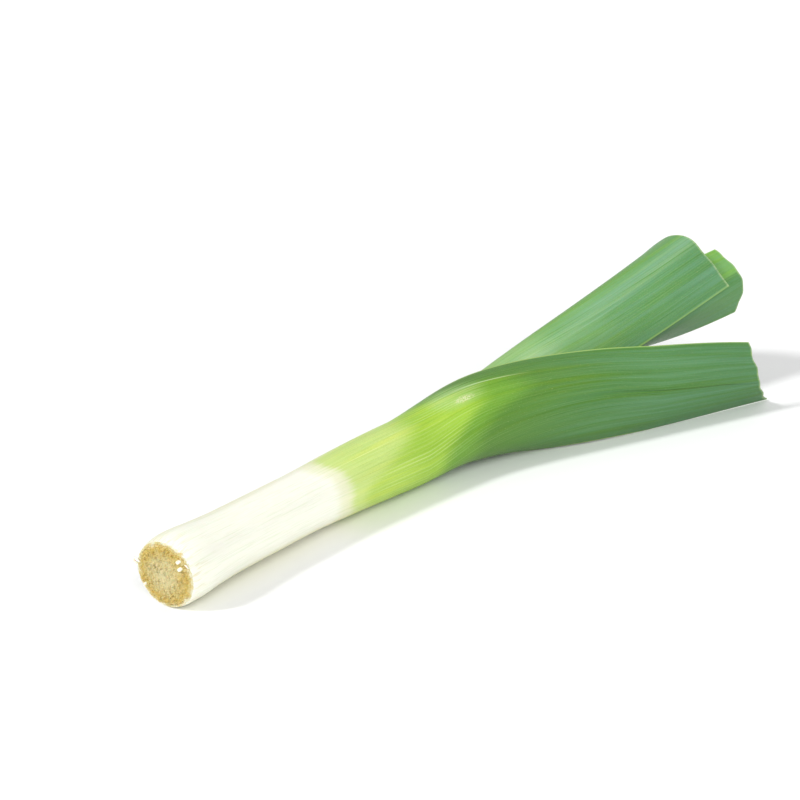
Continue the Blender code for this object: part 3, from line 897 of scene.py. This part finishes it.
def leaf_finish(leaf, side):
    """The finish of a leaf's outer or inner face."""
    finish = LeafFinish(f"{leaf.name}_{side}", roughness=0.4, Subsurface_Weight=0.08,
                        Subsurface_Scale=0.002, Specular_IOR_Level=0.2)
    fine = finish.streaks(0.014, 0.9, 4.0, 0.6)
    broad = finish.streaks(0.035, 0.2, 3.0)
    patches = finish.streaks(0.3, 0.06, 2.0)
    cells = finish.streaks(0.35, 2.6, 2.0, 0.6)
    faded = finish.math("MULTIPLY_ADD", finish.between(finish.along, 215.0, 275.0), -0.85, 1.0)
    colour = marks(finish, leaf, zone_colour(finish, leaf, fine, patches), fine)
    colour = streaked(finish, leaf, colour, fine, broad, cells, faded)

    rubbed = finish.between(broad, 0.75, 0.2)
    bloom = finish.product(finish.between(finish.along, 250.0, 380.0), rubbed, BLOOM[leaf.name])
    if side == "inside":
        bloom = finish.product(bloom, 0.35)
    colour = finish.mix(bloom, colour, WAX)
    opened = finish.between(finish.along, leaf.mouth, leaf.mouth + 12.0)
    duller = finish.math("MULTIPLY_ADD", finish.between(finish.along, 330.0, 420.0), -0.35, 0.7)
    edge = finish.product(finish.between(finish.aside, 0.484, 0.493), opened, duller)
    colour = finish.mix(edge, colour, MARGIN)
    near_cut = finish.between(finish.along, leaf.cut - 1.6, leaf.cut - 0.5)
    dried = finish.product(near_cut, finish.between(fine, 0.25, 0.6), 0.6)
    finish.colour(finish.mix(dried, colour, (0.44, 0.56, 0.28)))
    dull = finish.math("MULTIPLY_ADD", bloom, 0.35, 0.36)
    finish.roughness(finish.math("ADD", dull, finish.spread(fine, 0.25)))

    relief = finish.math("MULTIPLY", finish.product(finish.veins(RIBS), faded), 0.02)
    relief = finish.math("MULTIPLY_ADD", fine, 0.16, relief)
    relief = finish.math("MULTIPLY_ADD", broad, 0.25, relief)
    relief = finish.math("MULTIPLY_ADD", cells, 0.05, relief)
    finish.bump(finish.math("MULTIPLY", relief, MM), 1.0, 0.8)
    return finish.material


print("the most wax lies on", max(BLOOM, key=BLOOM.get))

# %% [markdown]
# ## The cut edges
#
# A knife bares the wet flesh between both skins, pale with the dark ends of the veins. Along the
# margins nothing is cut, and the edge stays green. Solidify gave all bare edges one material, so the
# finish itself tells the two apart by the distance from the cut.

# %% Finish the cut edges and give the leaves their finishes
def cut_finish(leaf):
    """The leaf's bare edge: green along the margins, and pale wet flesh with dark veins at the cut."""
    finish = LeafFinish(f"{leaf.name}_cut", roughness=0.35, Subsurface_Weight=0.15, Subsurface_Scale=0.002,
                        Specular_IOR_Level=0.25)
    green = finish.ramp(finish.along, GREENS[leaf.name], LONGEST)
    grain = finish.streaks(1.0, 2.5, 3.0)
    cut = finish.between(finish.along, leaf.cut - 4.0, leaf.cut - 1.0)
    colour = finish.mix(finish.math("MULTIPLY_ADD", cut, 0.3, 0.1), green, (0.60, 0.72, 0.40))
    colour = finish.mix(finish.product(finish.veins(RIBS), cut, 0.3), colour, PALE_VEIN)
    finish.colour(finish.mix(finish.product(grain, 0.3), colour, (0.16, 0.30, 0.07)))
    finish.bump(finish.math("MULTIPLY", grain, 0.0003), 1.0)
    return finish.material


for leaf in LEAVES:
    for finish in (leaf_finish(leaf, "outside"), leaf_finish(leaf, "inside"), cut_finish(leaf)):
        leaves[leaf.name].data.materials.append(finish)
print("finishes", [slot.name for slot in leaves["leaf_1_outer"].data.materials])

# %% [markdown]
# ## The root plate
#
# The leaves grow from a short disc of stem, and the roots grow out of its underside. A knife has sliced
# them off, which leaves a domed face. Spinning a profile would make the disc at once, but its walls are
# easier to follow as rings: it starts as a circle that is extruded and scaled ring by ring in edit mode.

# %% Turn a circle into the disc
PLATE_RINGS = [(0.5, -1.6), (6, -1.35), (11.5, -0.7), (15.9, 0), (16.5, 0.6), (16.3, 2.0)] + PLATE_CONE
PLATE_CORNERS = 96
ALONG_X = Matrix(((0, 0, 1), (1, 0, 0), (0, 1, 0))).to_4x4()


def make_disc():
    """The disc, with its axis along X and its cut face towards -X."""
    bpy.ops.object.select_all(action="DESELECT")
    radius, at = PLATE_RINGS[0]
    bpy.ops.mesh.primitive_circle_add(vertices=PLATE_CORNERS, radius=radius * MM, fill_type="NGON",
                                      location=(0, 0, at * MM))
    disc = bpy.context.object
    disc.name = "fine_root_plate"
    bpy.ops.object.transform_apply(location=True)
    bpy.ops.object.mode_set(mode="EDIT")
    bpy.ops.mesh.select_all(action="SELECT")
    for next_radius, next_at in PLATE_RINGS[1:]:
        bpy.ops.mesh.extrude_region_move(TRANSFORM_OT_translate={"value": (0, 0, (next_at - at) * MM)})
        grown = next_radius / radius
        bpy.ops.transform.resize(value=(grown, grown, 1))
        radius, at = next_radius, next_at
    bpy.ops.mesh.select_all(action="SELECT")
    bpy.ops.mesh.normals_make_consistent(inside=False)
    bpy.ops.object.mode_set(mode="OBJECT")
    disc.data.transform(ALONG_X)
    return disc


plate = make_disc()
print("disc", [round(size / MM, 1) for size in plate.dimensions], "mm")

# %% [markdown]
# ## One root stump
#
# A cut root is a short peg whose core has dried and sunk in. All are alike but for their size, so one is
# modelled and then copied: a tapered cylinder with softened edges, whose top is inset and pushed down.
# The top face is found by its normal, as a hand would pick it by its place.

# %% Model one stump
def select_top(piece):
    """Selects only the faces that look straight up."""
    for face in piece.data.polygons:
        face.select = face.normal.z > 0.9
    for edge in piece.data.edges:
        edge.select = False
    for vertex in piece.data.vertices:
        vertex.select = False
    for face in piece.data.polygons:
        if face.select:
            for index in face.vertices:
                piece.data.vertices[index].select = True


def make_stump():
    """A cut root, one unit in radius and in length, with a sunken core."""
    bpy.ops.object.select_all(action="DESELECT")
    bpy.ops.mesh.primitive_cone_add(vertices=14, radius1=1.0, radius2=0.8, depth=1.0)
    stump = bpy.context.object
    stump.name = "root_stump"
    soften = stump.modifiers.new("soften", "BEVEL")
    soften.width = 0.09
    soften.segments = 2
    bpy.ops.object.modifier_apply(modifier="soften")
    select_top(stump)
    bpy.ops.object.mode_set(mode="EDIT")
    bpy.ops.mesh.select_mode(type="FACE")
    bpy.ops.mesh.inset(thickness=0.22, depth=-0.07)
    bpy.ops.mesh.select_mode(type="VERT")
    bpy.ops.object.mode_set(mode="OBJECT")
    bpy.ops.object.shade_smooth_by_angle(angle=math.radians(40))
    return stump


stump = make_stump()
print("one stump has", len(stump.data.polygons), "faces")

# %% [markdown]
# ## One corky grain
#
# Between the stumps the face has dried into cork, which breaks into crumbs. There are over a thousand, so
# one crumb may have only a few dozen faces. A small sphere does it, because each copy is stretched and
# turned its own way, and none is more than two pixels wide in the picture.

# %% Model one grain
def make_grain():
    """A corky grain: a low sphere of one unit's radius."""
    bpy.ops.object.select_all(action="DESELECT")
    bpy.ops.mesh.primitive_uv_sphere_add(segments=8, ring_count=5, radius=1.0)
    grain = bpy.context.object
    grain.name = "grain"
    bpy.ops.object.shade_smooth()
    return grain


grain = make_grain()
print("one grain has", len(grain.data.polygons), "faces")

# %% [markdown]
# ## Where the stumps stand
#
# Roots grow in no order, but never through one another. Each spot is drawn at random and kept only if it
# is clear of those before it. The draws start from a fixed seed, so the face is the same every time. A
# copy's size, turn and place are worked into its own mesh, because the pieces are joined at the end.

# %% Stand the stumps on the cut face
STUMPS = 76
FACE = PLATE_RINGS[:4]
SUNK = 2.0                # how deep a stump's foot stands in the disc, in mm
STUMP_REACH = 15.2        # the furthest that a stump's middle stands from the disc's
STUMP_GAP = 0.15
TRIES = 60                # how often a spot is looked for before the stump is left out


def face_height(out):
    """How far along the axis the domed face lies, this far out from its middle."""
    return float(np.interp(out, [radius for radius, _ in FACE], [at for _, at in FACE]))


def stump_spots(draw):
    """Where the stumps stand, none touching another, and how thick each is."""
    spots = []
    for _ in range(STUMPS):
        radius = draw.uniform(0.65, 1.15)
        for _ in range(TRIES):
            out = STUMP_REACH * math.sqrt(draw.uniform(0.03, 1))
            angle = draw.uniform(0, 2 * math.pi)
            spot = Vector((out * math.cos(angle), out * math.sin(angle)))
            if all((spot - other).length > radius + size + STUMP_GAP for other, size in spots):
                spots.append((spot, radius))
                break
    return spots


def copy_to(piece, matrix):
    """A copy of a piece with the matrix worked into its points."""
    made = piece.copy()
    made.data = piece.data.copy()
    made.data.transform(matrix)
    bpy.context.scene.collection.objects.link(made)
    return made


def stump_matrix(draw, spot, radius):
    """A stump of its own height, leaning a little, with its foot sunk into the disc."""
    stands_out = draw.uniform(0.7, 2.2)
    sideways = Matrix.Rotation(math.radians(draw.uniform(-14, 14)), 4, "X")
    outwards = Matrix.Rotation(math.radians(-90 + draw.uniform(-14, 14)), 4, "Y")
    centre = Vector((face_height(spot.length) + (SUNK - stands_out) / 2, spot.x, spot.y)) * MM
    size = Matrix.Diagonal((radius * MM, radius * MM, (stands_out + SUNK) * MM, 1))
    return Matrix.Translation(centre) @ sideways @ outwards @ size


draw = random.Random(7)
spots = stump_spots(draw)
copies = [copy_to(stump, stump_matrix(draw, spot, radius)) for spot, radius in spots]
print("stumps", len(copies))

# %% [markdown]
# ## Scatter the grains
#
# The square root of an even draw spreads the grains evenly over a round face, since a ring further out
# has more room. They are larger towards the rim. A second, closer band sits where the outer leaf's skin
# meets the disc, which on a real leek is a ragged brown line and never a clean circle.

# %% Scatter the grains on the face and round the rim
GRAINS = 1150
RIM_GRAINS = 430


def grain_matrix(draw):
    """A grain somewhere on the face, lying in its dome."""
    angle = draw.uniform(0, 2 * math.pi)
    reach = 16.9 + 0.7 * math.sin(3 * angle + 1) * math.sin(5 * angle)
    out = reach * math.sqrt(draw.uniform(0, 1))
    size = draw.uniform(0.22, 0.42) + 0.22 * draw.random() * (out / 15.7) ** 2
    height = face_height(out) - 0.1 + max(0.0, out - 15.9) * 0.55
    centre = Vector((height, out * math.cos(angle), out * math.sin(angle))) * MM
    turn = Matrix.Rotation(draw.uniform(0, 6.3), 4, "X")
    stretch = Matrix.Diagonal((size * 0.8 * MM, size * draw.uniform(0.8, 1.5) * MM, size * MM, 1))
    return Matrix.Translation(centre) @ turn @ stretch


def rim_grain_matrix(draw):
    """A larger grain where the skin of the outer leaf meets the disc."""
    angle = draw.uniform(0, 2 * math.pi)
    out = 17.0 + draw.uniform(-0.5, 0.35) + 0.5 * max(0.0, math.sin(3 * angle + 1)) * draw.random()
    centre = Vector((0.35 + max(0.0, out - 17.2) * 1.2, out * math.cos(angle), out * math.sin(angle))) * MM
    size = draw.uniform(0.32, 0.58)
    turn = Matrix.Rotation(angle, 4, "X")
    return Matrix.Translation(centre) @ turn @ Matrix.Diagonal((size * MM, size * MM, size * 1.6 * MM, 1))


draw = random.Random(21)
grains = [copy_to(grain, grain_matrix(draw)) for _ in range(GRAINS)]
grains += [copy_to(grain, rim_grain_matrix(draw)) for _ in range(RIM_GRAINS)]
print("grains", len(grains))

# %% [markdown]
# ## Pale root ends and rootlets
#
# Three roots were cut so short that only their plump white ends show, two together at the right of the
# face and one at the left. They are stumps again, wider and lower. Two thin rootlets were bent aside and
# missed by the knife. Such a thin bent thing is quickest as a curve with a round section.

# %% Add three pale ends and two rootlets
PALE_ENDS = [((-10.3, 10.1), 1.0), ((-11.2, 6.4), 1.05), ((12.4, -7.6), 0.8)]


def pale_end(place, radius):
    """A plump root cut so short that only its white end shows."""
    y, z = place
    centre = Vector((face_height(math.hypot(y, z)) - 0.5, y, z)) * MM
    turned = Matrix.Rotation(math.radians(-90), 4, "Y")
    size = Matrix.Diagonal((radius * MM, radius * 1.3 * MM, 3.0 * MM, 1))
    return copy_to(stump, Matrix.Translation(centre) @ turned @ size)


def make_rootlet(points, thick):
    """A thin bent root: a curve with a round section, turned into a mesh."""
    bpy.ops.object.select_all(action="DESELECT")
    bpy.ops.curve.primitive_bezier_curve_add()
    line = bpy.context.object
    spline = line.data.splines[0]
    spline.bezier_points.add(len(points) - 2)
    for knot, point in zip(spline.bezier_points, points):
        knot.co = Vector(point) * MM
        knot.handle_left_type = "AUTO"
        knot.handle_right_type = "AUTO"
    line.data.bevel_depth = thick * MM
    line.data.bevel_resolution = 3
    line.data.resolution_u = 10
    line.data.use_fill_caps = True
    bpy.ops.object.convert(target="MESH")
    bpy.ops.object.shade_smooth()
    return bpy.context.object


pale_ends = [pale_end(place, radius) for place, radius in PALE_ENDS]
thick_rootlet = [(-0.2, 16.0, 3.4), (-1.2, 18.4, 5.6), (-0.8, 19.0, 3.9), (0.6, 18.2, 1.8)]
thin_rootlet = [(-0.3, -13.6, 8.8), (-1.6, -15.4, 9.6), (-1.2, -16.6, 8.2)]
rootlets = [make_rootlet(thick_rootlet, 0.55), make_rootlet(thin_rootlet, 0.32)]
print("pale ends", len(pale_ends), "rootlets", len(rootlets))

# %% [markdown]
# ## Cork and root skin
#
# Dried stem is greenish beige in the middle and golden at the rim, where it is driest. One formula, read
# by the distance from the middle, makes three finishes, for the disc, the grains and the stumps, each
# with its own share of light grit. A noise shifts the rings so that they don't look turned on a lathe,
# and a finer one adds pits. The UV map, which looks straight at the face, is laid on after the joining.

# %% Finish the cork
PLATE_VIEW = 40.0         # the side of the square that the UV map shows, in mm


def face_places(finish):
    """Where a point lies across the cut face, in millimetres from its middle."""
    split = finish.tree.nodes.new("ShaderNodeSeparateXYZ")
    finish.set(split.inputs[0], finish.tree.nodes.new("ShaderNodeUVMap").outputs["UV"])
    y = finish.math("MULTIPLY", finish.math("SUBTRACT", split.outputs[0], 0.5), PLATE_VIEW)
    z = finish.math("MULTIPLY", finish.math("SUBTRACT", split.outputs[1], 0.5), PLATE_VIEW)
    square = finish.math("ADD", finish.math("MULTIPLY", y, y), finish.math("MULTIPLY", z, z))
    return y, z, finish.math("SQRT", square)


def plate_finish(name, lighter):
    """Corky tissue: greenish beige in the middle, golden towards the rim, with brown pits."""
    finish = Finish(name, roughness=0.7, Subsurface_Weight=0.12, Subsurface_Scale=0.001,
                    Specular_IOR_Level=0.25)
    y, z, out = face_places(finish)
    place = finish.vector(y, z, 0.0)
    patches = finish.noise(place, 0.22, 2.0)
    grit = finish.noise(place, 2.0, 3.0, 0.6)
    ringed = finish.math("MULTIPLY_ADD", finish.math("SUBTRACT", patches, 0.5), 9.0, out)
    stops = [(0, (0.68, 0.61, 0.35)), (7, (0.66, 0.57, 0.29)), (11, (0.63, 0.51, 0.20)),
             (14.5, (0.61, 0.45, 0.12)), (16.5, (0.68, 0.55, 0.24)), (18.5, (0.80, 0.75, 0.55))]
    colour = finish.ramp(ringed, stops, PLATE_VIEW / 2)
    brown = finish.math("MULTIPLY", finish.between(grit, 0.5, 0.75), 0.35)
    colour = finish.mix(brown, colour, (0.56, 0.42, 0.13))
    light = finish.math("MULTIPLY", finish.between(grit, 0.5, 0.2), lighter)
    colour = finish.mix(light, colour, (0.74, 0.70, 0.47))
    pits = finish.math("MULTIPLY", finish.between(finish.noise(place, 0.6, 1.0), 0.70, 0.76), 0.4)
    finish.colour(finish.mix(pits, colour, (0.42, 0.27, 0.07)))
    finish.bump(finish.math("MULTIPLY", grit, 0.0006), 1.0, 0.9)
    return finish.material


cork = plate_finish("cork_face", 0.5)
grain_cork = plate_finish("cork_grain", 0.8)
stump_cork = plate_finish("root_end", 0.7)
print("cork finishes", cork.name, grain_cork.name, stump_cork.name)

# %% Finish the pale roots and give the pieces their finishes
def pale_root_finish():
    """A root's white skin, a little yellow where it has dried."""
    finish = Finish("pale_root", roughness=0.5, Subsurface_Weight=0.2, Subsurface_Scale=0.001,
                    Specular_IOR_Level=0.25)
    y, z, out = face_places(finish)
    dried = finish.noise(finish.vector(y, z, 0.0), 1.1, 3.0, 0.6)
    finish.colour(finish.mix(finish.between(dried, 0.45, 0.75), (0.92, 0.90, 0.82), (0.78, 0.68, 0.38)))
    finish.bump(finish.math("MULTIPLY", dried, 0.0003), 1.0)
    return finish.material


plate.data.materials.append(cork)
for made in grains:
    made.data.materials.append(grain_cork)
for made in copies:
    made.data.materials.append(stump_cork)
pale = pale_root_finish()
for made in pale_ends + rootlets:
    made.data.materials.append(pale)
print("pale finish", pale.name)

# %% [markdown]
# ## Join the root plate
#
# The disc, the stumps, the grains and the roots are one grown piece, so they are joined into one mesh.
# It was modelled round the X axis, where numbers are easy. Now the UV map is read off, and the mesh is
# turned by the leek's first bend and moved to the root's place. The object itself stays at the origin.

# %% Join the pieces and put them in their place
bpy.ops.object.select_all(action="DESELECT")
for made in [plate] + copies + grains + pale_ends + rootlets:
    made.select_set(True)
bpy.context.view_layer.objects.active = plate
bpy.ops.object.join()
for spare in (stump, grain):
    bpy.data.objects.remove(spare)

plate_uv = plate.data.uv_layers[0]
for loop in plate.data.loops:
    point = plate.data.vertices[loop.vertex_index].co / MM / PLATE_VIEW
    plate_uv.data[loop.index].uv = (point.y + 0.5, point.z + 0.5)
heading = Matrix.Rotation(math.radians(HEADING[0][1]), 4, "Z")
climb = Matrix.Rotation(math.radians(-CLIMB[0][1]), 4, "Y")
root_place = Vector(ROOT_PLACE) + Vector((0, 0, ROOT_HEIGHT))
plate.data.transform(Matrix.Translation(root_place * MM) @ heading @ climb)
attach(plate, "root")
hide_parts("root_plate")
print("root plate triangles", sum(len(face.vertices) - 2 for face in plate.data.polygons))

# %% [markdown]
# ## The same box as the packed model
#
# The finer pieces must fill the same box as the packed model, give or take a fraction of a millimetre.
